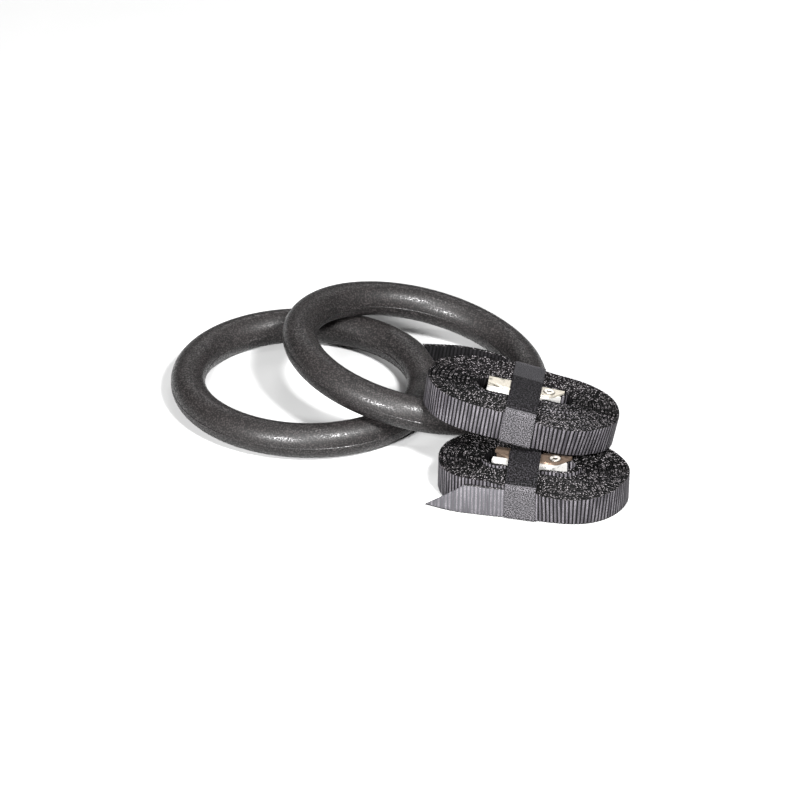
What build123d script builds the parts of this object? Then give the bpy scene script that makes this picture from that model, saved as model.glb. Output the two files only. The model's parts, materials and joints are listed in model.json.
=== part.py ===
from build123d import *
import os
from math import atan2, cos, degrees, radians, sin, tan

# Pair of gymnastics rings with their two straps, each strap rolled up round its cam buckle
# and held by a fabric tie. Millimetres, +Z up. The origin is the bottom centre of the group.

# Rings: two half shells each, welded along the equator
RING_OUTER = 236.0
TUBE = 30.0
WALL = 4.0
SEAM_GROOVE = 0.5
TONGUE_WIDTH = 1.2
TONGUE_HEIGHT = 1.2
TONGUE_PLAY = 0.1
RIB_COUNT = 24
RIB_THICKNESS = 2.0

# Webbing and the roll that it makes
WEBBING_WIDTH = 28.0
WEBBING_THICKNESS = 2.4
ROLL_LENGTH = 168.0
ROLL_WIDTH = 98.0
ROLL_HEIGHT = 29.0
EYE_LENGTH = 90.0
EYE_WIDTH = 30.0
EYE_X = 3.5

# Cam buckle: its base plate runs along X at the back of the eye, its lever faces the front
FRAME_LENGTH = 66.0
FRAME_WIDTH = 33.0
FRAME_SHEET = 1.8
BASE_Y = 9.7
CHEEK_END_HEIGHT = 8.4
CHEEK_HEIGHT = 16.4
CHEEK_RISE_X = -19.0
CHEEK_TOE_HEIGHT = 4.0
SLOT_X = 27.4
SLOT_SIZE = (4.6, 28.6)
PIN_X = 20.0
PIN_HEIGHT = 9.0
PIN_RADIUS = 2.5
PIN_BORE = 1.6
PIN_PLAY = 0.05
RIVET_HEAD_RADIUS = 4.8
RIVET_HEAD_HEIGHT = 1.2
RIDGE_COUNT = 5
RIDGE_PITCH = 2.2
RIDGE_HEIGHT = 0.5
LEVER_WIDTH = 28.6
LEVER_SHEET = 2.0
LEVER_HEIGHT = 22.0
LEVER_TIP_DEPTH = 7.0
CAM_RADIUS = 5.9
TOOTH_HEIGHT = 0.8
TOOTH_COUNT = 5
GRIP_COUNT = 4
SPRING_WIRE = 0.8
SPRING_RADIUS = 3.6
SPRING_PITCH = 1.0
SPRING_POCKET = (4.8, 8.0)
SPRING_LEG_ROOM = 2.0

# Fabric tie
BAND_WIDTH = 27.0
BAND_THICKNESS = 1.5
BAND_GAP = 0.2
BAND_RECESS = 1.8
TAB_THICKNESS = 1.2

tube_radius = TUBE / 2
ring_radius = (RING_OUTER - TUBE) / 2
pin_y = BASE_Y - PIN_HEIGHT
roll_bottom = -ROLL_HEIGHT / 2
roll_top = ROLL_HEIGHT / 2


def seat(x, y, z, lean_x=0.0, lean_y=0.0, turn=0.0):
    """The plane on which a piece lies: turned about Z, then leant about X and then about Y."""
    along = Vector(1, 0, 0).rotate(Axis.Z, turn).rotate(Axis.X, lean_x).rotate(Axis.Y, lean_y)
    normal = Vector(0, 0, 1).rotate(Axis.X, lean_x).rotate(Axis.Y, lean_y)
    return Plane(origin=(x, y, z), x_dir=along, z_dir=normal)


# Where each ring and each roll lies in the group
LEFT_RING_SEAT = seat(-81.3, 43.5, tube_radius)
RIGHT_RING_SEAT = seat(12.9, 53.4, 36.35, lean_x=-1.24, lean_y=11.82)
UPPER_ROLL_SEAT = seat(104.1, -60.6, 54.7, lean_x=-3.4, lean_y=9.0, turn=-6.0)
LOWER_ROLL_SEAT = seat(116.3, -114.4, ROLL_HEIGHT / 2, turn=-13.5)


class Layout:
    """How one strap is rolled: each roll is wound by hand, so the two differ a little."""

    def __init__(
        self, winding, outer_turn, band_x, band_turn, buckle_x, buckle_z, tail, tail_lift, tail_cut
    ):
        self.winding = winding
        self.outer_turn = outer_turn
        self.band_x = band_x
        self.band_turn = band_turn
        self.buckle_x = buckle_x
        self.buckle_z = buckle_z
        self.tail = tail
        self.tail_lift = tail_lift
        self.tail_cut = tail_cut


UPPER = Layout(
    winding=1,
    outer_turn=-8.5,
    band_x=2.0,
    band_turn=0.0,
    buckle_x=2.0,
    buckle_z=1.0,
    tail=((-26, 50.7), (-62, 50.0), (-93, 36)),
    tail_lift=2.5,
    tail_cut=24.0,
)
LOWER = Layout(
    winding=-1,
    outer_turn=0.0,
    band_x=-7.5,
    band_turn=8.5,
    buckle_x=-1.5,
    buckle_z=3.9,
    tail=((-25, -50.9), (-54, -51.0), (-83, -45.5)),
    tail_lift=0.0,
    tail_cut=37.0,
)


def save(shape, plane, name):
    placed = shape.moved(plane.location)
    placed.label = name
    export_step(placed, f"parts/{name}.step")
    return placed


def ring_shell(side):
    """Half of a hollow ring, above (side = 1) or below (side = -1) its equator."""
    inner = tube_radius - WALL
    groove = degrees(atan2(SEAM_GROOVE, tube_radius))
    tip = tube_radius - SEAM_GROOVE
    start = (ring_radius + tube_radius * cos(radians(groove)), side * tube_radius * sin(radians(groove)))
    end = (ring_radius - tube_radius * cos(radians(groove)), start[1])
    with BuildPart() as rib:
        with BuildSketch(Plane.XZ):
            with Locations((ring_radius, 0)):
                Circle(inner + WALL / 2)
            with Locations((ring_radius, -side * TUBE / 2)):
                Rectangle(2 * TUBE, TUBE, mode=Mode.SUBTRACT)
        extrude(amount=RIB_THICKNESS / 2, both=True)
    with BuildPart() as shell:
        with BuildSketch(Plane.XZ):
            with BuildLine():
                Line((ring_radius + inner, 0), (ring_radius + tip, 0))
                Line((ring_radius + tip, 0), start)
                ThreePointArc(start, (ring_radius, side * tube_radius), end)
                Line(end, (ring_radius - tip, 0))
                Line((ring_radius - tip, 0), (ring_radius - inner, 0))
                crown = (ring_radius, side * inner)
                ThreePointArc((ring_radius - inner, 0), crown, (ring_radius + inner, 0))
            make_face()
        revolve(axis=Axis.Z)
        with PolarLocations(0, RIB_COUNT):
            add(rib.part)
        seam = ring_radius + inner + WALL / 2, ring_radius - inner - WALL / 2
        play = 0 if side > 0 else TONGUE_PLAY
        with BuildSketch(Plane.XY):
            for radius in seam:
                Circle(radius + TONGUE_WIDTH / 2 + play)
                Circle(radius - TONGUE_WIDTH / 2 - play, mode=Mode.SUBTRACT)
        if side > 0:
            extrude(amount=-TONGUE_HEIGHT)
        else:
            extrude(amount=-TONGUE_HEIGHT - play, mode=Mode.SUBTRACT)
    return shell.part


def webbing_roll(layout):
    """The coiled webbing as one soft block, open at its eye and pressed in under the tie."""
    with BuildPart() as roll:
        with BuildSketch(Plane.XY.offset(roll_bottom)):
            SlotOverall(ROLL_LENGTH, ROLL_WIDTH, rotation=layout.outer_turn)
            with Locations((EYE_X, 0)):
                SlotOverall(EYE_LENGTH, EYE_WIDTH, mode=Mode.SUBTRACT)
        extrude(amount=ROLL_HEIGHT)
        with BuildSketch(band_plane(layout).offset(roll_bottom)):
            with Locations((layout.band_x, 0)):
                Rectangle(BAND_WIDTH + 1, 2 * ROLL_WIDTH)
        extrude(amount=BAND_RECESS, mode=Mode.SUBTRACT)
    return roll.part


def webbing_tail(layout):
    """The free end, which leaves the roll at a tangent and is cut off obliquely."""
    start, middle, end = layout.tail
    bottom = roll_bottom + layout.tail_lift
    top = bottom + WEBBING_WIDTH
    short, long = (bottom, top) if layout.winding > 0 else (top, bottom)
    with BuildPart() as tail:
        with BuildSketch(outline_plane(layout).offset(bottom)):
            with BuildLine():
                ThreePointArc(start, middle, end)
            trace(line_width=WEBBING_THICKNESS)
        extrude(amount=WEBBING_WIDTH)
        outline = outline_plane(layout)
        with BuildSketch(Plane(origin=(0, 0, 0), x_dir=outline.x_dir, z_dir=-outline.y_dir)):
            with BuildLine():
                Polyline(
                    (end[0] - 5, short),
                    (end[0] + layout.tail_cut, short),
                    (end[0], long),
                    (end[0] - 5, long),
                    close=True,
                )
            make_face()
        extrude(amount=ROLL_WIDTH, both=True, mode=Mode.SUBTRACT)
    return tail.part


def outline_plane(layout):
    return Plane.XY.rotated((0, 0, layout.outer_turn))


def band_plane(layout):
    return Plane.XY.rotated((0, 0, layout.band_turn))


def buckle_end(layout):
    """The sewn end of the webbing: a loop round the frame's bar, then two layers stitched together."""
    x = layout.buckle_x
    bar = (x + FRAME_LENGTH / 2 - 1.5, BASE_Y - FRAME_SHEET / 2)
    double = 2 * WEBBING_THICKNESS - 0.4
    with BuildPart() as loop:
        with BuildSketch(Plane.XY.offset(layout.buckle_z - WEBBING_WIDTH / 2)):
            with Locations(bar):
                RectangleRounded(3.4 + 2 * WEBBING_THICKNESS, 2.2 + 2 * WEBBING_THICKNESS, 3.0)
            if layout.winding > 0:
                far = x - 14
                near = bar[0]
                with Locations(((far + near) / 2, BASE_Y + BAND_GAP + double / 2)):
                    Rectangle(near - far, double)
            else:
                outer = EYE_WIDTH / 2 - BAND_GAP
                centre = (EYE_X + (EYE_LENGTH - EYE_WIDTH) / 2, 0)
                with BuildLine():
                    CenterArc(centre, outer - double / 2, -70, 165)
                trace(line_width=double)
            with Locations(bar):
                Rectangle(3.4, 2.2, mode=Mode.SUBTRACT)
        extrude(amount=WEBBING_WIDTH)
    return loop.part


def buckle_frame(layout):
    """A channel stamped from sheet: a base plate with a webbing slot, and two cheeks with pin holes."""
    x = layout.buckle_x
    half = FRAME_LENGTH / 2
    pin = (x + PIN_X, pin_y)
    low = layout.buckle_z - FRAME_WIDTH / 2
    high = layout.buckle_z + FRAME_WIDTH / 2
    crest = CHEEK_HEIGHT - PIN_HEIGHT
    with BuildPart() as frame:
        for floor in (low, high - FRAME_SHEET):
            with BuildSketch(Plane.XY.offset(floor)):
                with BuildLine():
                    Polyline(
                        (x + half, BASE_Y - CHEEK_TOE_HEIGHT),
                        (x + half, BASE_Y),
                        (x - half, BASE_Y),
                        (x - half, BASE_Y - CHEEK_END_HEIGHT),
                        (x + CHEEK_RISE_X, BASE_Y - CHEEK_HEIGHT),
                        (pin[0], BASE_Y - CHEEK_HEIGHT),
                    )
                    arc = CenterArc(pin, crest, -90, 60)
                    Line(arc @ 1, (x + half, BASE_Y - CHEEK_TOE_HEIGHT))
                make_face()
                with Locations(pin):
                    Circle(PIN_RADIUS, mode=Mode.SUBTRACT)
            extrude(amount=FRAME_SHEET)
        with Locations((x, BASE_Y - FRAME_SHEET / 2, layout.buckle_z)):
            Box(FRAME_LENGTH, FRAME_SHEET, FRAME_WIDTH)
        fillet(frame.edges().filter_by(Axis.X).group_by(Axis.Y)[-1], 1.2)
        with Locations((x + SLOT_X, BASE_Y, layout.buckle_z)):
            Box(SLOT_SIZE[0], 3 * FRAME_SHEET, SLOT_SIZE[1], mode=Mode.SUBTRACT)
        for i in range(RIDGE_COUNT):
            ridge_x = x + PIN_X - 1 + (i - RIDGE_COUNT / 2) * RIDGE_PITCH
            inside = BASE_Y - FRAME_SHEET
            with BuildSketch(Plane.XY.offset(layout.buckle_z - LEVER_WIDTH / 2)):
                with BuildLine():
                    Polyline(
                        (ridge_x - RIDGE_HEIGHT, inside + 0.1),
                        (ridge_x + RIDGE_HEIGHT, inside + 0.1),
                        (ridge_x, inside - RIDGE_HEIGHT),
                        close=True,
                    )
                make_face()
            extrude(amount=LEVER_WIDTH)
    return frame.part


def cam_lever(layout):
    """The cast lever: thumb tab, side flanges and a toothed cam that turns on the pin."""
    x = layout.buckle_x
    z = layout.buckle_z
    pin = (x + PIN_X, pin_y)
    tip = x - FRAME_LENGTH / 2
    face = BASE_Y - LEVER_HEIGHT
    flange = face + LEVER_TIP_DEPTH
    with BuildPart() as lever:
        with BuildSketch(Plane.XY.offset(z - LEVER_WIDTH / 2)):
            with BuildLine():
                Polyline(
                    (tip, face + 1.2),
                    (tip + 2, face),
                    (x + 8, face),
                    (x + PIN_X, face + 4.5),
                    (x + PIN_X + 11, face + 11.6),
                    (x + PIN_X + 10, face + 13.4),
                    (x + PIN_X, pin_y + 2),
                    (x + PIN_X - 6, pin_y + 1),
                    (x - 16, flange),
                    (tip, flange),
                    close=True,
                )
            make_face()
            with Locations(pin):
                Circle(CAM_RADIUS)
            for i in range(TOOTH_COUNT):
                angle = radians(96 + 11 * (i - TOOTH_COUNT // 2))
                root = CAM_RADIUS - 1
                side = radians(6)
                with BuildLine():
                    Polyline(
                        (pin[0] + root * cos(angle - side), pin[1] + root * sin(angle - side)),
                        (pin[0] + root * cos(angle + side), pin[1] + root * sin(angle + side)),
                        (
                            pin[0] + (CAM_RADIUS + TOOTH_HEIGHT) * cos(angle),
                            pin[1] + (CAM_RADIUS + TOOTH_HEIGHT) * sin(angle),
                        ),
                        close=True,
                    )
                make_face()
        extrude(amount=LEVER_WIDTH)
        with BuildSketch(Plane.XY.offset(z - LEVER_WIDTH / 2 + LEVER_SHEET)):
            with BuildLine():
                Polyline(
                    (tip + LEVER_SHEET, face + LEVER_SHEET),
                    (x + 9, face + LEVER_SHEET),
                    (x + 9, BASE_Y),
                    (tip + LEVER_SHEET, BASE_Y),
                    close=True,
                )
            make_face()
        extrude(amount=LEVER_WIDTH - 2 * LEVER_SHEET, mode=Mode.SUBTRACT)
        with BuildSketch(Plane.XY.offset(z - SPRING_POCKET[1] / 2)):
            with Locations(pin):
                Circle(SPRING_POCKET[0])
            with Locations((x + 10, pin_y - SPRING_LEG_ROOM / 2)):
                Rectangle(2 * PIN_X - 20, 2 * SPRING_POCKET[0] + SPRING_LEG_ROOM)
            with Locations((pin[0], pin_y + 4)):
                Rectangle(2 * SPRING_POCKET[0], 8)
        extrude(amount=SPRING_POCKET[1], mode=Mode.SUBTRACT)
        with BuildSketch(Plane.XY.offset(z - LEVER_WIDTH / 2)):
            with Locations(pin):
                Circle(PIN_RADIUS + PIN_PLAY)
        extrude(amount=LEVER_WIDTH, mode=Mode.SUBTRACT)
        with BuildSketch(Plane.XY.offset(z - LEVER_WIDTH / 2 + 1)):
            with Locations(*[(tip + 3 + 2.4 * i, face) for i in range(GRIP_COUNT)]):
                Circle(0.6)
        extrude(amount=LEVER_WIDTH - 2)
    return lever.part


def cam_pin(layout):
    """A tubular rivet, rolled over outside each cheek."""
    low = layout.buckle_z - FRAME_WIDTH / 2
    high = layout.buckle_z + FRAME_WIDTH / 2
    axis_x = layout.buckle_x + PIN_X
    section = Plane(origin=(axis_x, pin_y, 0), x_dir=(1, 0, 0), z_dir=(0, -1, 0))
    with BuildPart() as pin:
        with BuildSketch(section):
            with BuildLine():
                Polyline(
                    (PIN_BORE + 0.8, low - RIVET_HEAD_HEIGHT),
                    (RIVET_HEAD_RADIUS - 0.8, low - RIVET_HEAD_HEIGHT),
                )
                ThreePointArc(
                    (RIVET_HEAD_RADIUS - 0.8, low - RIVET_HEAD_HEIGHT),
                    (RIVET_HEAD_RADIUS, low - RIVET_HEAD_HEIGHT / 2),
                    (RIVET_HEAD_RADIUS - 0.4, low),
                )
                Polyline(
                    (RIVET_HEAD_RADIUS - 0.4, low),
                    (PIN_RADIUS, low),
                    (PIN_RADIUS, high),
                    (RIVET_HEAD_RADIUS - 0.4, high),
                )
                ThreePointArc(
                    (RIVET_HEAD_RADIUS - 0.4, high),
                    (RIVET_HEAD_RADIUS, high + RIVET_HEAD_HEIGHT / 2),
                    (RIVET_HEAD_RADIUS - 0.8, high + RIVET_HEAD_HEIGHT),
                )
                Polyline(
                    (RIVET_HEAD_RADIUS - 0.8, high + RIVET_HEAD_HEIGHT),
                    (PIN_BORE + 0.8, high + RIVET_HEAD_HEIGHT),
                    (PIN_BORE, high),
                    (PIN_BORE, low),
                    (PIN_BORE + 0.8, low - RIVET_HEAD_HEIGHT),
                )
            make_face()
        revolve(axis=Axis((axis_x, pin_y, 0), (0, 0, 1)))
    return pin.part


def cam_spring(layout):
    """A torsion spring on the pin, with one leg towards the base and one towards the lever."""
    turns = 3 + 160 / 360
    height = SPRING_PITCH * turns
    with BuildPart() as spring:
        with BuildLine() as path:
            coil = Helix(SPRING_PITCH, height, SPRING_RADIUS)
            Line(coil @ 0 - (coil % 0) * 8, coil @ 0)
            Line(coil @ 1, coil @ 1 + (coil % 1) * 8)
        wire = path.wire()
        with BuildSketch(Plane(origin=wire @ 0, z_dir=wire % 0)):
            Circle(SPRING_WIRE / 2)
        sweep(path=wire)
    middle = Pos(layout.buckle_x + PIN_X, pin_y, layout.buckle_z - height / 2)
    return middle * Rot(0, 0, -90) * spring.part


def tie_profile(layout):
    """Inner corners of the tie's loop, across the roll: (Y, Z), front bottom first."""
    slant = tan(radians(layout.outer_turn - layout.band_turn))
    start_x = layout.band_x - BAND_WIDTH / 2
    reach = ROLL_WIDTH / 2 / cos(radians(layout.outer_turn - layout.band_turn)) + BAND_GAP
    front = -reach + slant * start_x
    back = reach + slant * start_x
    top = roll_top + BAND_GAP
    bottom = roll_bottom + BAND_THICKNESS
    over = max(top, layout.buckle_z + FRAME_WIDTH / 2 + BAND_GAP)
    under = min(bottom, layout.buckle_z - FRAME_WIDTH / 2 - BAND_GAP)
    near = BASE_Y - LEVER_HEIGHT - 4
    far = BASE_Y + 4
    corners = [(front, bottom), (near, under), (far, under), (back, bottom)]
    corners += [(back, top), (far, over), (near, over), (front, top)]
    return corners, slant


def tie_plane(layout):
    """The plane of the tie's left edge, where its profile is drawn: Y across the roll, Z up."""
    turned = band_plane(layout)
    edge = turned.x_dir * (layout.band_x - BAND_WIDTH / 2)
    return Plane(origin=edge, x_dir=turned.y_dir, z_dir=turned.x_dir)


def tie_band(layout):
    corners, slant = tie_profile(layout)
    plane = tie_plane(layout)
    along = band_plane(layout).x_dir + band_plane(layout).y_dir * slant
    with BuildPart() as band:
        with BuildSketch(plane):
            with BuildLine():
                Polyline(*corners, close=True)
            make_face()
            offset(amount=BAND_THICKNESS)
            with BuildLine():
                Polyline(*corners, close=True)
            make_face(mode=Mode.SUBTRACT)
        extrude(amount=BAND_WIDTH * along.length, dir=along)
    return band.part


def tie_tab(layout):
    """The hook end of the tie, lapped over the front of the loop."""
    corners, slant = tie_profile(layout)
    far, near, front = (Vector(*corner) for corner in corners[5:8])
    slope = (near - front).normalized()
    steep_out = Vector(-slope.Y, slope.X)
    lift = BAND_THICKNESS + 0.05
    bend = near + Vector(-lift * tan(atan2(slope.Y, slope.X) / 2), lift)
    low = front + slope * 3 + steep_out * lift
    tip = far + Vector(0, lift)
    rise = TAB_THICKNESS * tan(atan2(slope.Y, slope.X) / 2)
    plane = tie_plane(layout)
    along = band_plane(layout).x_dir + band_plane(layout).y_dir * slant
    with BuildPart() as tab:
        with BuildSketch(plane):
            with BuildLine():
                Polyline(
                    (low.X, low.Y),
                    (bend.X, bend.Y),
                    (tip.X, tip.Y),
                    (tip.X, tip.Y + TAB_THICKNESS),
                    (bend.X - rise, bend.Y + TAB_THICKNESS),
                    (low.X + steep_out.X * TAB_THICKNESS, low.Y + steep_out.Y * TAB_THICKNESS),
                    close=True,
                )
            make_face()
        extrude(amount=BAND_WIDTH * along.length, dir=along)
    return tab.part


os.makedirs("parts", exist_ok=True)
placed = []
for ring, plane in (("left", LEFT_RING_SEAT), ("right", RIGHT_RING_SEAT)):
    placed.append(save(ring_shell(1), plane, f"ring_{ring}_upper_shell"))
    placed.append(save(ring_shell(-1), plane, f"ring_{ring}_lower_shell"))

STRAP_PIECES = {
    "webbing_roll": webbing_roll,
    "webbing_tail": webbing_tail,
    "webbing_buckle_end": buckle_end,
    "buckle_frame": buckle_frame,
    "cam_lever": cam_lever,
    "cam_pin": cam_pin,
    "cam_spring": cam_spring,
    "tie_band": tie_band,
    "tie_tab": tie_tab,
}
for strap, layout, plane in (("upper", UPPER, UPPER_ROLL_SEAT), ("lower", LOWER, LOWER_ROLL_SEAT)):
    for piece, make in STRAP_PIECES.items():
        placed.append(save(make(layout), plane, f"{piece}_{strap}"))

group = Compound(children=placed).bounding_box()
print("group from", group.min, "to", group.max)
for strap, layout, plane in (("upper", UPPER, UPPER_ROLL_SEAT), ("lower", LOWER, LOWER_ROLL_SEAT)):
    pin = plane.from_local_coords(Vector(layout.buckle_x + PIN_X, pin_y, layout.buckle_z))
    print(strap, "pin at", pin, "press axis", -plane.z_dir)
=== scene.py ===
import json
import math
from dataclasses import dataclass

import bpy
import numpy as np
from mathutils import Matrix, Vector
from mathutils import noise as perlin


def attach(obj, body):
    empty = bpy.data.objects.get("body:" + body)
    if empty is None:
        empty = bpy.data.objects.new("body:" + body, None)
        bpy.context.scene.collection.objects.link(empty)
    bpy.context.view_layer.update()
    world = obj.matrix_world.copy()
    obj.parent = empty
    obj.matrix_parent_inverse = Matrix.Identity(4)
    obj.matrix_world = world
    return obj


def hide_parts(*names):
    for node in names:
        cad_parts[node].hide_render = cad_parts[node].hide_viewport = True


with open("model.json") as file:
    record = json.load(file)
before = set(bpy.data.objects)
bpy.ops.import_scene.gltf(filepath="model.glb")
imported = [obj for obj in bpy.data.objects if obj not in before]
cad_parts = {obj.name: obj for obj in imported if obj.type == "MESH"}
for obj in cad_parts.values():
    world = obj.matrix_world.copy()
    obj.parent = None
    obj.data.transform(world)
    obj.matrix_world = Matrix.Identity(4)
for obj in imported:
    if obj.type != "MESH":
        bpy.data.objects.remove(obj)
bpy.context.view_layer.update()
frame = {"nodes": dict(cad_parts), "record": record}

# Materials, lights and the camera are in metres. Strap shapes are in millimetres, and MM makes them metres.
MM = 0.001


# ---------------------------------------------------------------- sizes of the straps, in millimetres
RIB_PITCH = 3.3  # from one rib of the webbing to the next
HALF_WIDTH = 14.0  # of the webbing
HALF_DEPTH = 1.45  # on a rib, and less between ribs
TURNS = 12
EYE_HALF = 28.0  # half the straight length of the innermost turn
ROLL_TOP, ROLL_UNDER = 14.7, -13.0  # where the tie lies on the turns, above and below
BUCKLE_LENGTH = 66.0
FRAME_WIDTH = 33.0
LEVER_HEIGHT = 22.0
BASE_Y = 9.7  # the back of the buckle's base plate
SLOT_X = 27.4  # the plate's slot, from the buckle's middle
RIVET_X, RIVET_DROP = 20.0, 9.0  # the rivet, from the buckle's middle and from the plate's back
BAND_WIDTH = 27.0  # of the tie
BAND_DEPTH = 1.3


# ---------------------------------------------------------------- materials
class Look:
    """A material under construction, with short calls for its procedural nodes."""

    def __init__(self, name):
        self.material = bpy.data.materials.new(name)
        self.material.use_nodes = True
        self.tree = self.material.node_tree
        self.tree.nodes.clear()
        self.surface = self.tree.nodes.new("ShaderNodeBsdfPrincipled")
        output = self.tree.nodes.new("ShaderNodeOutputMaterial")
        self.tree.links.new(self.surface.outputs[0], output.inputs["Surface"])
        coordinates = self.tree.nodes.new("ShaderNodeTexCoord")
        self.solid = coordinates.outputs["Object"]
        self.flat = coordinates.outputs["UV"]

    def put(self, socket, value):
        if isinstance(value, bpy.types.NodeSocket):
            self.tree.links.new(value, socket)
        else:
            socket.default_value = value

    def set(self, **values):
        """Values of the surface, by the socket's name with _ for each space."""
        for name, value in values.items():
            self.put(self.surface.inputs[name.replace("_", " ")], value)

    def node(self, kind, **inputs):
        made = self.tree.nodes.new(kind)
        for name, value in inputs.items():
            self.put(made.inputs[name], value)
        return made

    def math(self, operation, a, b=0.0):
        made = self.tree.nodes.new("ShaderNodeMath")
        made.operation = operation
        for socket, value in zip(made.inputs, (a, b)):
            self.put(socket, value)
        return made.outputs[0]

    def vector_math(self, operation, a, b=(0, 0, 0)):
        made = self.tree.nodes.new("ShaderNodeVectorMath")
        made.operation = operation
        for socket, value in zip(made.inputs, (a, b)):
            self.put(socket, value)
        return made.outputs

    def noise(self, where, scale, detail=2.0, roughness=0.5):
        settings = {"Vector": where, "Scale": scale, "Detail": detail, "Roughness": roughness}
        return self.node("ShaderNodeTexNoise", **settings).outputs["Fac"]

    def cells(self, where, scale):
        return self.node("ShaderNodeTexVoronoi", Vector=where, Scale=scale).outputs["Distance"]

    def stretch(self, where, x, y, z=1.0):
        return self.node("ShaderNodeMapping", Vector=where, Scale=(x, y, z)).outputs[0]

    def along_and_across(self):
        """The place on a strap's flat map: metres along it, and metres from its middle."""
        axes = self.node("ShaderNodeSeparateXYZ", Vector=self.flat).outputs
        return axes[0], axes[1]

    def wave(self, value, pitch):
        return self.math("SINE", self.math("MULTIPLY", value, 2 * math.pi / pitch))

    def ramp(self, value, *stops):
        made = self.node("ShaderNodeValToRGB", Fac=value)
        ends = made.color_ramp.elements
        while len(ends) < len(stops):
            ends.new(0.5)
        for end, (place, shade) in zip(ends, stops):
            end.position = place
            end.color = (shade, shade, shade, 1)
        return made.outputs["Color"]

    def mix(self, amount, a, b):
        made = self.tree.nodes.new("ShaderNodeMix")
        made.data_type = "RGBA"
        factor, first, second = (made.inputs[k] for k in (0, 6, 7))
        self.put(factor, amount)
        for socket, value in ((first, a), (second, b)):
            self.put(socket, value if isinstance(value, bpy.types.NodeSocket) else (*value, 1))
        return made.outputs[2]

    def bump(self, height, distance, strength, under=None):
        made = self.node("ShaderNodeBump", Height=height, Strength=strength, Distance=distance)
        if under is not None:
            self.put(made.inputs["Normal"], under)
        return made.outputs[0]


def ring_plastic():
    """Moulded plastic with a coarse sparkling grain, a little browner and paler where hands rub it."""
    look = Look("ring_plastic")
    moulded, rubbed, sparkle = (0.0010, 0.0009, 0.0009), (0.0032, 0.0026, 0.0025), (0.023, 0.0205, 0.0205)
    grain = look.noise(look.solid, 780, 2, 0.6)
    pebble = look.cells(look.solid, 800)
    cloud = look.noise(look.solid, 30, 4, 0.6)
    fleck = look.ramp(grain, (0.51, 0.0), (0.59, 1.0))
    dark = look.mix(look.ramp(cloud, (0.35, 0.0), (0.68, 1.0)), moulded, rubbed)
    rough = look.bump(grain, 0.0004, 0.18)
    pebbled = look.bump(pebble, 0.0002, 0.15, rough)
    look.set(
        Base_Color=look.mix(fleck, dark, sparkle),
        Roughness=look.ramp(grain, (0.44, 0.60), (0.60, 0.28)),
        Specular_IOR_Level=0.25,
        Normal=look.bump(cloud, 0.0008, 0.25, pebbled),
    )
    return look.material


def webbing_weave(name, groove, shade, gloss):
    """Ribbed polyester webbing: grey crests over grooves darkened as painted shade, and an edge of slanted
    knots.

    groove is the grooves' brightness, low as painted shade, shade is how much of the crests' colour shows,
    gloss is the shine.
    """
    look = Look(name)
    deep, dull, faded = (groove, groove, 1.1 * groove), (0.022, 0.020, 0.024), (0.022, 0.020, 0.023)
    yarn_dark, yarn_lit = (0.060, 0.056, 0.062), (0.170, 0.160, 0.175)
    edge_dark, edge_lit = (0.0004, 0.0004, 0.0004), (0.20, 0.185, 0.192)
    edge_width, yarn_pitch, knot_pitch, knot_slant = 0.0009, 0.00062, 0.0019, 9000.0

    along, across = look.along_and_across()
    ridge = look.math("ABSOLUTE", look.wave(along, 2 * RIB_PITCH * MM))
    yarn = look.wave(across, yarn_pitch)
    twist = look.noise(look.stretch(look.flat, 900, 2600), 1.0, 3, 0.6)
    each_rib = look.noise(look.stretch(look.flat, 260, 22), 1.0, 2, 0.6)
    patch = look.noise(look.stretch(look.flat, 16, 60), 1.0, 3, 0.6)
    crest = look.mix(look.ramp(twist, (0.46, 0.0), (0.66, 1.0)), yarn_dark, yarn_lit)
    crest = look.mix(look.ramp(each_rib, (0.38, 0.85), (0.58, 0.0)), crest, dull)
    crest = look.mix(look.ramp(patch, (0.35, 0.0), (0.75, 0.35)), crest, faded)
    # Dark grooves between the ribs: painted shade.
    face = look.mix(look.ramp(ridge, (0.50, 0.0), (0.82, shade)), deep, crest)

    rim = look.math("SUBTRACT", HALF_WIDTH * MM, look.math("ABSOLUTE", across))
    slope = look.math("MULTIPLY", rim, knot_slant)
    slant = look.math("ADD", look.math("MULTIPLY", along, 2 * math.pi / knot_pitch), slope)
    stitch = look.ramp(look.math("SINE", slant), (0.35, 0.15), (0.9, 1.0))
    fleck = look.ramp(look.cells(look.stretch(look.flat, 640, 1500), 1.0), (0.24, 1.0), (0.40, 0.0))
    knots = look.mix(look.math("MULTIPLY", stitch, fleck), edge_dark, edge_lit)
    fine = look.bump(yarn, 0.00012, 0.6)
    look.set(
        Base_Color=look.mix(look.math("LESS_THAN", rim, edge_width), face, knots),
        Roughness=look.ramp(twist, (0.3, 0.50), (0.7, 0.70)),
        Specular_IOR_Level=gloss,
        Normal=look.bump(twist, 0.00022, 0.7, fine),
    )
    return look.material


def tie_loop_pile():
    """The loop side of the tie: short knitted loops that catch the light, with painted shade on the roll's
    top.
    """
    look = Look("tie_loop_pile")
    between, lit = (0.004, 0.004, 0.004), (0.074, 0.070, 0.076)
    worn, shaded = (0.020, 0.020, 0.022), (0.006, 0.006, 0.007)
    along, _ = look.along_and_across()
    loops = look.cells(look.stretch(look.flat, 1500, 1100), 1.0)
    speck = look.noise(look.stretch(look.flat, 950, 1150), 1.0, 1, 0.5)
    cloud = look.noise(look.stretch(look.flat, 70, 70), 1.0, 3, 0.6)
    shade = look.mix(look.ramp(speck, (0.45, 0.0), (0.56, 1.0)), between, lit)
    shade = look.mix(look.ramp(cloud, (0.4, 0.0), (0.7, 0.3)), shade, worn)
    look.set(
        # Painted shade from 0.163 m along the strip to its end, over the roll's top.
        Base_Color=look.mix(look.ramp(along, (0.163, 0.0), (0.169, 0.7)), shade, shaded),
        Roughness=0.85,
        Specular_IOR_Level=0.15,
        Normal=look.bump(loops, 0.0004, 0.8),
    )
    return look.material


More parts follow.
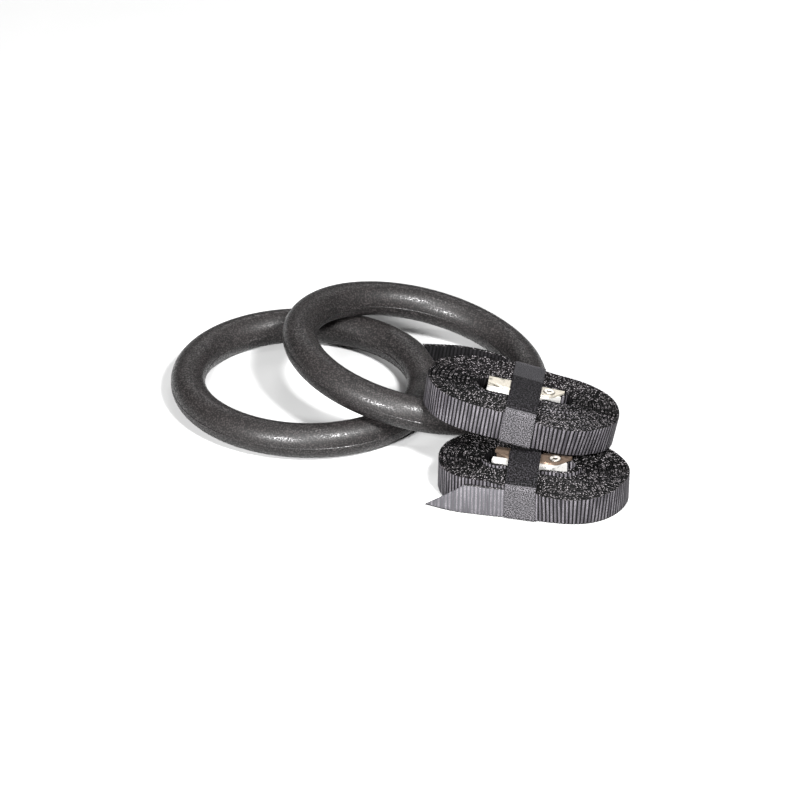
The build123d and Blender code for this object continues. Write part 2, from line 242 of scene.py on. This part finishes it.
def tie_hook_tape():
    """The woven back of the hook side, with fine ribs both ways."""
    look = Look("tie_hook_tape")
    between, yarn, crossing = (0.001, 0.001, 0.001), (0.019, 0.018, 0.020), (0.002, 0.002, 0.002)
    along, across = look.along_and_across()
    weave = look.math("MULTIPLY", look.wave(along, 0.0010), look.wave(across, 0.0014))
    speck = look.noise(look.stretch(look.flat, 640, 760), 1.0, 2, 0.6)
    base = look.mix(look.ramp(speck, (0.48, 0.0), (0.58, 1.0)), between, yarn)
    look.set(
        Base_Color=look.mix(look.ramp(weave, (0.2, 0.0), (0.8, 0.5)), base, crossing),
        Roughness=look.ramp(speck, (0.3, 0.60), (0.7, 0.75)),
        Specular_IOR_Level=0.05,
        Normal=look.bump(weave, 0.00012, 0.6),
    )
    return look.material


def metal(name, colour, dull, rough, scratch, axis=None):
    """Zinc-plated metal: mottled, scratched and stained; for the rivet on the axis, painted shade in its
    bore and a dark ring round its head.
    """
    look = Look(name)
    stained, bore_shade_and_head_ring = tuple(0.25 * c for c in dull), (0.020, 0.017, 0.014)
    mottle = look.noise(look.solid, 260, 4, 0.6)
    fine = look.noise(look.solid, 2400, 3, 0.6)
    lines = look.noise(look.stretch(look.solid, 3200, 240, 900), 1.0, 2, 0.5)
    stain = look.ramp(look.noise(look.solid, 150, 4, 0.7), (0.54, 0.0), (0.66, 0.85))
    shade = look.mix(look.ramp(mottle, (0.3, 0.0), (0.7, 0.6)), colour, dull)
    shade = look.mix(stain, shade, stained)
    if axis is not None:
        centre, direction = axis
        away = look.vector_math("SUBTRACT", look.solid, centre)[0]
        beside = look.vector_math("CROSS_PRODUCT", away, direction)[0]
        distance = look.vector_math("LENGTH", beside)["Value"]
        centimetres = look.math("MULTIPLY", distance, 100.0)
        # Painted shade in the rivet's bore, to 1.9 mm from the axis, and a dark ring round its head,
        # strongest at 4.7 mm.
        rings = look.ramp(centimetres, (0.19, 1.0), (0.23, 0.0), (0.40, 0.0), (0.47, 0.8), (0.56, 0.0))
        shade = look.mix(rings, shade, bore_shade_and_head_ring)
    under = look.bump(fine, 0.00008, 0.4)
    look.set(
        Base_Color=shade,
        Metallic=0.75,
        Roughness=look.ramp(mottle, (0.3, rough), (0.7, rough + 0.16)),
        Normal=look.bump(lines, scratch, 0.5, under),
    )
    return look.material


def floor_paper():
    look = Look("floor_paper")
    look.set(
        Base_Color=look.ramp(look.noise(look.solid, 6, 2, 0.5), (0.3, 0.36), (0.7, 0.37)),
        Roughness=0.9,
        Specular_IOR_Level=0.1,
    )
    return look.material


# ---------------------------------------------------------------- strap facts
@dataclass
class Strap:
    """One rolled strap, in millimetres and degrees in its roll's own frame: X along it, Z up its axis."""

    name: str
    seat: Matrix  # where the roll lies
    winding: int  # 1 where the tail leaves at the back, -1 where it leaves at the front
    outer_turn: float  # how far the coil turns about Z from its eye to its outside
    outer_half: float  # half the straight length of the outermost turn
    shift: float  # how far the outermost turn is off centre along X
    band_x: float  # the tie's middle along X
    band_turn: float  # how far the tie turns about Z
    buckle_x: float  # the buckle's middle along X
    buckle_z: float  # and its height in the roll
    start: float  # where the coil starts, in turns
    eye_x: float  # how far the innermost turn is off centre along X
    first: float  # the radius of the ends of the first turn
    last: float  # and of the last
    tail: tuple  # points that the free end passes, in plan
    tail_lift: float  # how much higher the free end lies than the coil
    tail_lean: float  # outward lean of the one section between coil and free end
    tail_cut: float  # length of the slanted cut
    worn: float  # length of the lighter end, worn and with painted sheen
    flare: tuple  # (angle, spread, amount) where the turns lean outwards at their top
    dent: tuple  # (angle, spread, amount) where the turns are pressed inwards
    raised: tuple  # (angle, spread, amount) where the inner turns stand higher
    plating_and_shade: tuple  # the buckle plate's two colours, darkened as painted shade where the upper roll hangs over the plate
    seed: float  # sets this strap's own unevenness

    @property
    def body(self):
        return f"strap_{self.name}"


def seat(x, y, z, lean_x=0.0, lean_y=0.0, turn=0.0):
    lean = Matrix.Rotation(math.radians(lean_y), 4, "Y") @ Matrix.Rotation(math.radians(lean_x), 4, "X")
    spun = lean @ Matrix.Rotation(math.radians(turn), 4, "Z")
    return Matrix.Translation(Vector((x, y, z)) * MM) @ spun


STRAPS = [
    Strap(
        name="upper",
        seat=seat(104.1, -60.6, 54.7, -3.4, 9.0, -6.0),
        winding=1,
        outer_turn=-8.5,
        outer_half=35.0,
        shift=0.0,
        band_x=2.0,
        band_turn=0.0,
        buckle_x=2.0,
        buckle_z=1.0,
        start=0.0,
        eye_x=1.0,
        first=13.2,
        last=50.0,
        tail=((-26, 50.0), (-44, 52.3), (-61, 50.6), (-77, 45.0), (-99, 31.5)),
        tail_lift=2.5,
        tail_lean=3.0,
        tail_cut=24.0,
        worn=0.0,
        flare=((-62, 40, 4.6), (-152, 34, 1.0), (115, 34, 1.2)),
        dent=(),
        raised=((-38, 26, 3.2),),
        plating_and_shade=((0.58, 0.54, 0.47), (0.40, 0.37, 0.31)),
        seed=3.0,
    ),
    Strap(
        name="lower",
        seat=seat(116.3, -114.4, 14.5, turn=-13.5),
        winding=-1,
        outer_turn=0.0,
        outer_half=33.7,
        shift=-1.3,
        band_x=-7.5,
        band_turn=8.5,
        buckle_x=-1.5,
        buckle_z=3.9,
        start=-0.25,
        eye_x=-1.0,
        first=13.3,
        last=49.6,
        tail=((-25, -49.8), (-40, -50.4), (-54, -50.6), (-69, -48.6), (-84, -45.0)),
        tail_lift=0.0,
        tail_lean=0.0,
        tail_cut=37.0,
        worn=78.0,
        flare=((-48, 32, 3.2),),
        dent=((-128, 20, 3.6),),
        raised=(),
        # The lower plate's colours are darkened as painted shade from the upper roll that hangs over it.
        plating_and_shade=((0.20, 0.145, 0.11), (0.070, 0.050, 0.036)),
        seed=11.0,
    ),
]


# ---------------------------------------------------------------- lines in the plane
def stadium(u, half, radius):
    """Points of a slot outline; u goes once round per unit, from the back right, leftwards."""
    part = (u % 1.0) * 4
    side = np.floor(part)
    part = part - side
    angle = np.where(side == 1, np.pi / 2 + np.pi * part, -np.pi / 2 + np.pi * part)
    round_x = np.where(side == 1, -half, half) + radius * np.cos(angle)
    round_y = radius * np.sin(angle)
    flat_x = np.where(side == 0, half - 2 * half * part, -half + 2 * half * part)
    flat_y = np.where(side == 0, radius, -radius)
    is_round = (side == 1) | (side == 3)
    return np.where(is_round, round_x, flat_x), np.where(is_round, round_y, flat_y)


def turned(points, degrees):
    """Plan points turned about Z, by one angle or by one for each point."""
    a = np.radians(degrees)
    x, y = points[:, 0], points[:, 1]
    return np.stack([x * np.cos(a) - y * np.sin(a), x * np.sin(a) + y * np.cos(a)], 1)


def through(points, count=40):
    """A smooth line through the points."""
    p = np.array(points, float)
    p = np.vstack([2 * p[0] - p[1], p, 2 * p[-1] - p[-2]])
    made = []
    for a, b, c, d in zip(p, p[1:], p[2:], p[3:]):
        slope, sag, twist = c - a, 2 * a - 5 * b + 4 * c - d, 3 * b - a - 3 * c + d
        for t in np.linspace(0, 1, count, endpoint=False):
            made.append(0.5 * (2 * b + slope * t + sag * t**2 + twist * t**3))
    made.append(p[-2])
    return np.array(made)


def travelled(points):
    """How far along the line each point is."""
    return np.r_[0, np.cumsum(np.linalg.norm(np.diff(points, axis=0), axis=1))]


def sampled(at, known, points):
    """The points of a line at those lengths."""
    return np.stack([np.interp(at, known, points[:, k]) for k in range(points.shape[1])], 1)


def spaced(points, step):
    """The same line with points at an even step."""
    far = travelled(points)
    return sampled(np.linspace(0, far[-1], max(2, int(round(far[-1] / step)) + 1)), far, points)


def arc(cx, cy, rx, ry, start, end, count):
    a = np.radians(np.linspace(start, end, count))
    return np.stack([cx + rx * np.cos(a), cy + ry * np.sin(a)], 1)


def rounded(corners, radius):
    """A line through corners, each rounded."""
    p = [np.array(c, float) for c in corners]
    made = [p[0]]
    for a, b, c in zip(p, p[1:], p[2:]):
        before, after = (a - b) / np.linalg.norm(a - b), (c - b) / np.linalg.norm(c - b)
        trim = min(radius, 0.45 * np.linalg.norm(a - b), 0.45 * np.linalg.norm(c - b))
        for t in np.linspace(0, 1, 7):
            towards, onwards = b + before * trim, b + after * trim
            made.append((1 - t) ** 2 * towards + 2 * t * (1 - t) * b + t * t * onwards)
    made.append(p[-1])
    return np.array(made)


def around(angle, places):
    """The sum of soft bumps, each (peak, spread, amount), at the angles round the roll."""
    total = np.zeros(len(angle))
    for peak, spread, amount in places:
        away = (angle - peak + 180) % 360 - 180
        total += amount * np.exp(-((away / spread) ** 2))
    return total


def wander(places):
    """Smooth noise at each (x, y, z)."""
    return np.array([perlin.noise(Vector(place)) for place in places])


def sideways(tangent):
    """The unit direction to the right of each tangent."""
    return np.stack([tangent[:, 1], -tangent[:, 0]], 1)


# ---------------------------------------------------------------- webbing
def buckle_path(strap):
    """From the webbing's cut end, through the slot and round the bar, to where the coil begins."""
    slot = strap.buckle_x + SLOT_X
    bar_end = strap.buckle_x + BUCKLE_LENGTH / 2
    inner, outer, under = BASE_Y + 1.3, BASE_Y + 3.5, BASE_Y - 3.6
    if strap.winding > 0:
        return np.vstack(
            [
                [(strap.buckle_x - 12, inner), (slot - 3.2, inner)],
                arc(slot - 1.8, inner - 1.9, 1.9, 1.9, 90, 0, 8),
                arc(slot + 2.0, under + 1.9, 1.9, 1.9, 180, 270, 8),
                arc(bar_end - 0.6, (under + outer) / 2, 2.8, (outer - under) / 2, -90, 90, 16),
            ]
        )
    eye_end = strap.eye_x + EYE_HALF
    return np.vstack(
        [
            arc(eye_end, 0, 10.7, 10.7, -60, 30, 20),
            [(eye_end + 5.5, under + 0.3), (slot + 3.0, under)],
            arc(slot + 2.2, (under + inner) / 2, 2.2, (inner - under) / 2, 270, 90, 14),
            [(slot + 4.5, inner + 0.2)],
        ]
    )


def behind_tail(q):
    """How much a turn gives way where the tail presses on the coil: the outermost turn does not."""
    return q * np.clip((0.97 - q) / 0.04, 0, 1)


def coil(strap):
    """The turns in plan, with how far out each point is, from 0 in the eye to 1 at the tail."""
    tail_x = strap.tail[0][0]
    turns = TURNS + 0.25 * (strap.outer_half + strap.shift - tail_x) / (2 * strap.outer_half)
    t = np.linspace(strap.start, turns, 9000)
    q = (t - strap.start) / (turns - strap.start)
    radius = strap.first + (strap.last - strap.first) * q
    x, y = stadium(t, EYE_HALF + (strap.outer_half - EYE_HALF) * q, radius)
    round_once = 2 * np.pi * t
    uneven = wander(zip(3 * np.cos(round_once), 3 * np.sin(round_once), strap.seed + 0.9 * q))
    loose = wander((a * 1.7, strap.seed, 2.0) for a in t)
    angle = np.degrees(np.arctan2(y * strap.winding, x))
    grow = 1 + (0.9 * q * uneven + 0.16 * loose) / np.maximum(radius, 20)
    grow -= around(angle, strap.dent) * behind_tail(q) / radius
    x = x * grow + strap.eye_x * (1 - q) + strap.shift * q
    y = y * grow * strap.winding
    return turned(np.c_[x, y], strap.outer_turn * q), q


def webbing_path(strap):
    """The whole strap: lengths along it, points in plan, and which part each is in.

    The part is -1 in the buckle, 0 to 1 from the eye to the outside of the coil, and 2 on the tail.
    """
    turns, q = coil(strap)
    tail = turned(through(strap.tail)[1:], strap.outer_turn)
    tail += (turns[-1] - tail[0]) * np.exp(-np.linspace(0, 5, len(tail)))[:, None]
    head = spaced(buckle_path(strap), 0.25)
    plan = np.vstack([head, turns, tail])
    part = np.r_[np.full(len(head), -1.0), q, np.full(len(tail), 2.0)]
    far = travelled(plan)
    at = np.arange(0, far[-1], 0.2)
    plan = sampled(at, far, plan)
    kernel = np.hanning(17)
    kernel /= kernel.sum()
    smooth = [np.convolve(np.pad(axis, 8, mode="edge"), kernel, "valid") for axis in plan.T]
    return at, np.stack(smooth, 1), np.interp(at, far, part)


def rib_steps(length, outer_from):
    """Lengths at an even share of a rib: four a rib inside the roll, eight where the ribs show."""
    steps = []
    s = 0.0
    while s < length:
        steps.append(s)
        s += RIB_PITCH / (8 if s > outer_from else 4)
    return np.array(steps + [length])


@dataclass
class Line:
    """A strap's middle line: its points, with the directions out of its face and across its width."""

    centre: np.ndarray
    out: np.ndarray
    across: np.ndarray
    far: np.ndarray  # the length along the strap


def section(width_steps, edge):
    """A flat strap's cross-section as (across, through) pairs from -1 to 1, rounded at both edges."""
    face = [(v, 1.0) for v in width_steps]
    rim = [(1 - 0.25 * edge, 0.86), (1.0, 0.0), (1 - 0.25 * edge, -0.86)]
    back = [(-v, -1.0) for v in width_steps]
    other_rim = [(-v, h) for v, h in reversed(rim)]
    return np.array(face + rim + back + other_rim)


def ribbon(name, place, line, across, push, looks, which=None):
    """A strap's mesh, swept along a line: across and push place its section's points in width and depth.

    Its flat map holds the length and the height on the strap, in metres. which numbers each face's look.
    """
    out, over = line.out[:, None], line.across[:, None]
    points = line.centre[:, None] + out * push[..., None] + over * across[..., None]
    rings, size = push.shape
    index = np.arange(rings * size).reshape(rings, size)
    beside = np.roll(index, -1, axis=1)
    quads = np.stack([index[:-1], beside[:-1], beside[1:], index[1:]], -1).reshape(-1, 4)
    ends = [index[0].tolist(), index[-1][::-1].tolist()]
    mesh = bpy.data.meshes.new(name)
    mesh.from_pydata((points.reshape(-1, 3) * MM).tolist(), [], quads.tolist() + ends)
    chart = mesh.uv_layers.new(name="strap")
    flat = np.stack([np.repeat(line.far, size), across.reshape(-1)], 1) * MM
    corners = np.zeros(len(mesh.loops), int)
    mesh.loops.foreach_get("vertex_index", corners)
    chart.data.foreach_set("uv", flat[corners].reshape(-1))
    mesh.polygons.foreach_set("use_smooth", np.ones(len(mesh.polygons), bool))
    for look in looks:
        mesh.materials.append(look)
    if which is not None:
        mesh.polygons.foreach_set("material_index", which.reshape(-1).tolist() + [0, 0])
    mesh.validate()
    mesh.update()
    made = bpy.data.objects.new(name, mesh)
    bpy.context.scene.collection.objects.link(made)
    made.matrix_world = place
    return made


def webbing(strap, path, looks):
    """The strap's whole webbing; looks are its outer face, its inner face, darkened as painted shade, and
    its end, lighter from wear and painted sheen.
    """
    at, plan, part = path
    length = at[-1]
    outer_from = np.interp(0.80, np.maximum.accumulate(np.clip(part, 0, 1)), at)
    far = rib_steps(length, outer_from)
    centre = sampled(far, at, plan)
    tangent = sampled(far, at, np.gradient(plan, at, axis=0))
    tangent /= np.linalg.norm(tangent, axis=1)[:, None]
    outward = sideways(tangent) * strap.winding

    part = np.interp(far, at, part)
    q = np.clip(part, 0, 1)
    on_tail = np.clip(part - 1, 0, 1)
    angle = np.degrees(np.arctan2(centre[:, 1], centre[:, 0]))
    ridge = np.abs(np.sin(np.pi * far / RIB_PITCH)) ** 0.7
    across_tie = np.abs(turned(centre, -strap.band_turn)[:, 0] - strap.band_x)
    tied = 1 / (1 + np.exp((across_tie - 15.5) / 1.1))
    at_buckle = np.clip(1 - q * 9, 0, 1)
    free = 1 - at_buckle

    height = strap.buckle_z * at_buckle * at_buckle * (3 - 2 * at_buckle)
    height += (0.55 * wander((a * 0.011, strap.seed, 7.0) for a in far) - 0.1) * free
    height += strap.tail_lift * on_tail**1.5
    height += around(angle, strap.raised) * np.exp(-((q / 0.4) ** 2)) * np.clip(part * 60, 0, 1)
    height += 0.9 * around(angle, strap.dent) * behind_tail(q)
    height = height * (1 - tied * free) + 0.65 * tied * free

    lean = around(angle, strap.flare) * q**1.3
    lean += strap.tail_lean * np.exp(-(((on_tail - 0.25) / 0.22) ** 2)) * (part > 1)
    lean *= 1 - tied

    profile = section([-0.93, -0.45, 0.0, 0.45, 0.93], 0.12)
    half_width = HALF_WIDTH - 0.45 * tied + 0.16 * (ridge - 0.5)
    half_depth = np.where(part < 0, 0.86 + 0.14 * ridge, HALF_DEPTH * (0.84 + 0.16 * ridge))
    kept_edge = HALF_WIDTH * strap.winding
    kept = np.clip((length - far) / strap.tail_cut, 0.012, 1)
    across = half_width[:, None] * profile[:, 0]
    across = kept_edge + (across - kept_edge) * kept[:, None]
    push = half_depth[:, None] * profile[:, 1] + lean[:, None] * across / HALF_WIDTH

    # Faces on the strap's inner side take the darkened look: painted shade.
    deep = profile[:, 1]
    inner = deep + np.roll(deep, -1) < -1.5
    # The end's lighter look is part wear, part painted sheen.
    worn = (far[:-1] > length - strap.worn)[:, None]
    which = np.where(inner, 1, np.where(worn, 2, 0))
    line = Line(
        centre=np.c_[centre, height],
        out=np.c_[outward, np.zeros(len(far))],
        across=np.tile([0.0, 0.0, 1.0], (len(far), 1)),
        far=far,
    )
    made = ribbon(f"webbing_{strap.name}", strap.seat, line, across, push, looks, which)
    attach(made, strap.body)
    nodes = "webbing_roll", "webbing_tail", "webbing_buckle_end"
    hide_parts(*[f"{node}_{strap.name}" for node in nodes])


# ---------------------------------------------------------------- ties
def tie_strip(strap, name, corners, look, replaced):
    """One strip of the tie. corners are its middle line in (Y, Z), at the strip's left edge."""
    middle = spaced(rounded(corners, 3.0)[::-1], 0.45)
    far = travelled(middle)
    tangent = np.gradient(middle, axis=0)
    tangent /= np.linalg.norm(tangent, axis=1)[:, None]
    outward = sideways(tangent)
    ripple = wander((a * 0.05, strap.seed, 21.0) for a in far)
    middle = middle + outward * (0.25 * ripple)[:, None]

    slant = math.tan(math.radians(strap.outer_turn - strap.band_turn))
    count = len(far)
    line = Line(
        centre=np.c_[np.full(count, strap.band_x), middle[:, 0] + slant * BAND_WIDTH / 2, middle[:, 1]],
        out=np.c_[np.zeros(count), outward],
        across=np.tile([1.0, slant, 0.0], (count, 1)),
        far=far,
    )
    profile = section([-0.95, -0.5, 0.0, 0.5, 0.95], 0.05)
    across = (BAND_WIDTH / 2 + 0.12 * ripple)[:, None] * profile[:, 0]
    push = np.tile(BAND_DEPTH / 2 * profile[:, 1], (count, 1))
    place = strap.seat @ Matrix.Rotation(math.radians(strap.band_turn), 4, "Z")
    made = ribbon(name, place, line, across, push, [look])
    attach(made, strap.body)
    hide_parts(f"{replaced}_{strap.name}")


def tie(strap, plan, pile, tape):
    """Both strips: the loop side once round the roll, and the hook side lapped over it from the front."""
    slant = math.tan(math.radians(strap.outer_turn - strap.band_turn))
    local = turned(plan, -strap.band_turn)
    beside = local[np.abs(local[:, 0] - strap.band_x) < BAND_WIDTH / 2 + 1]
    reach = beside[:, 1] - slant * (beside[:, 0] - (strap.band_x - BAND_WIDTH / 2))
    gap = 1.35
    front, back = reach.min() - gap, reach.max() + gap
    over = max(ROLL_TOP, strap.buckle_z + FRAME_WIDTH / 2 + 0.2)
    under = min(ROLL_UNDER, strap.buckle_z - FRAME_WIDTH / 2 - 0.2)
    near, away = BASE_Y - LEVER_HEIGHT - 4, BASE_Y + 4
    one, two = BAND_DEPTH / 2, BAND_DEPTH * 1.5 + 0.1
    loop = [
        (front + 8, ROLL_TOP + one + 0.4),
        (near, over + one),
        (away, over + one),
        (back + one, ROLL_TOP + one),
        (back + one, ROLL_UNDER - one),
        (away, under - one),
        (near, under - one),
        (front - one, ROLL_UNDER - one),
        (front - one, ROLL_TOP + one + 1.0),
        (front + 2.5, ROLL_TOP + two + 0.8),
    ]
    hook = [
        (front + 1.2, ROLL_TOP + one + 0.1),
        (front + 9.0, ROLL_TOP + two + 0.9),
        (near, over + two),
        (away - 3, over + two),
        (away + 1, over + two - 0.15),
    ]
    loop_name = f"tie_loop_{strap.name}"
    tie_strip(strap, loop_name, loop, pile, "tie_band")
    tie_strip(strap, f"tie_hook_{strap.name}", hook, tape, "tie_tab")


# ---------------------------------------------------------------- building
looks = {
    "ring_plastic": ring_plastic(),
    "cast_metal": metal("lever_plating", (0.72, 0.71, 0.69), (0.50, 0.49, 0.47), 0.38, 0.00008),
    "spring_wire": metal("spring_wire", (0.62, 0.62, 0.62), (0.45, 0.45, 0.45), 0.22, 0.00003),
    "webbing": webbing_weave("webbing_weave", 0.0012, 1.0, 0.08),
}
# The inner face: the weave darkened almost to black as painted shade.
inside = webbing_weave("webbing_inner_face_shade", 0.0008, 0.05, 0.04)
# The end: lighter grooves and more shine, part wear and part painted sheen.
end_wear_and_sheen = webbing_weave("webbing_end_wear_and_sheen", 0.034, 1.0, 0.2)
for strap in STRAPS:
    rivet = Vector((strap.buckle_x + RIVET_X, BASE_Y - RIVET_DROP, strap.buckle_z)) * MM
    axis = strap.seat @ rivet, strap.seat.to_3x3() @ Vector((0, 0, 1))
    rivet_colours = (0.80, 0.76, 0.70), (0.60, 0.56, 0.50)
    plating_and_shade = metal(f"plating_{strap.name}", *strap.plating_and_shade, 0.34, 0.00006, axis)
    looks[f"buckle_frame_{strap.name}"] = plating_and_shade
    looks[f"cam_pin_{strap.name}"] = metal(f"rivet_{strap.name}", *rivet_colours, 0.30, 0.00004, axis)

for part in frame["record"]["subparts"]:
    look = looks.get(part["node"]) or looks.get(part["material_slot"])
    if look is not None:
        node = frame["nodes"][part["node"]]
        node.data.materials.clear()
        node.data.materials.append(look)

pile, tape = tie_loop_pile(), tie_hook_tape()
for strap in STRAPS:
    path = webbing_path(strap)
    webbing(strap, path, [looks["webbing"], inside, end_wear_and_sheen])
    tie(strap, path[1], pile, tape)


# ---------------------------------------------------------------- floor, light and camera
def floor(size, height, look):
    steps = np.linspace(-size / 2, size / 2, 9)
    points = [(x, y, height) for y in steps for x in steps]
    faces = [(9 * j + i, 9 * j + i + 1, 9 * j + i + 10, 9 * j + i + 9) for j in range(8) for i in range(8)]
    mesh = bpy.data.meshes.new("floor")
    mesh.from_pydata(points, [], faces)
    mesh.materials.append(look)
    made = bpy.data.objects.new("floor", mesh)
    bpy.context.scene.collection.objects.link(made)
    return made


floor(12.0, -0.0002, floor_paper())


def softbox(name, towards, distance, size, power, aim=None):
    """A rectangular studio light in that direction from the object, facing it unless aimed elsewhere."""
    lamp = bpy.data.lights.new(name, "AREA")
    lamp.shape = "RECTANGLE"
    lamp.size, lamp.size_y = size
    lamp.energy = power
    made = bpy.data.objects.new(name, lamp)
    away = Vector(towards).normalized()
    made.location = away * distance + Vector((0, 0, 0.03))
    made.rotation_mode = "QUATERNION"
    made.rotation_quaternion = Vector(aim or -away).to_track_quat("-Z", "Y")
    bpy.context.scene.collection.objects.link(made)


softbox("key", (-0.32, -0.82, 0.46), 1.9, (0.50, 0.32), 128)
softbox("fill_right", (0.33, -0.55, 0.77), 1.9, (0.34, 0.30), 132)
softbox("overhead", (0.02, 0.06, 1.0), 1.7, (0.5, 0.14), 8)
softbox("backdrop", (0.0, 0.85, 0.62), 2.4, (3.0, 0.8), 80, aim=(0, 0.5, -1))

world = bpy.data.worlds.new("studio")
world.use_nodes = True
world.node_tree.nodes["Background"].inputs["Color"].default_value = (1, 1, 1, 1)
world.node_tree.nodes["Background"].inputs["Strength"].default_value = 0.05
bpy.context.scene.world = world
bpy.context.scene.view_settings.view_transform = "Standard"


def camera(target, distance, elevation, tilt, focal_length):
    """A camera in front of the object, looking down on it and tilted a little about its line of sight."""
    sideways_level = Vector((1, 0, 0))
    upright = Vector((0, math.sin(elevation), math.cos(elevation)))
    right = math.cos(tilt) * sideways_level + math.sin(tilt) * upright
    up = -math.sin(tilt) * sideways_level + math.cos(tilt) * upright
    back = right.cross(up)
    lens = bpy.data.cameras.new("camera")
    lens.lens = focal_length
    lens.sensor_width = 36
    lens.clip_start, lens.clip_end = 0.1, 60
    made = bpy.data.objects.new("camera", lens)
    bpy.context.scene.collection.objects.link(made)
    facing = Matrix((right, up, back)).transposed().to_4x4()
    made.matrix_world = Matrix.Translation(Vector(target) + back * distance) @ facing
    return made


bpy.context.scene.camera = camera(
    target=(0.0007, 0.0420, 0.0),
    distance=8.0,
    elevation=math.radians(29.265),
    tilt=0.021356,
    focal_length=412.8,
)
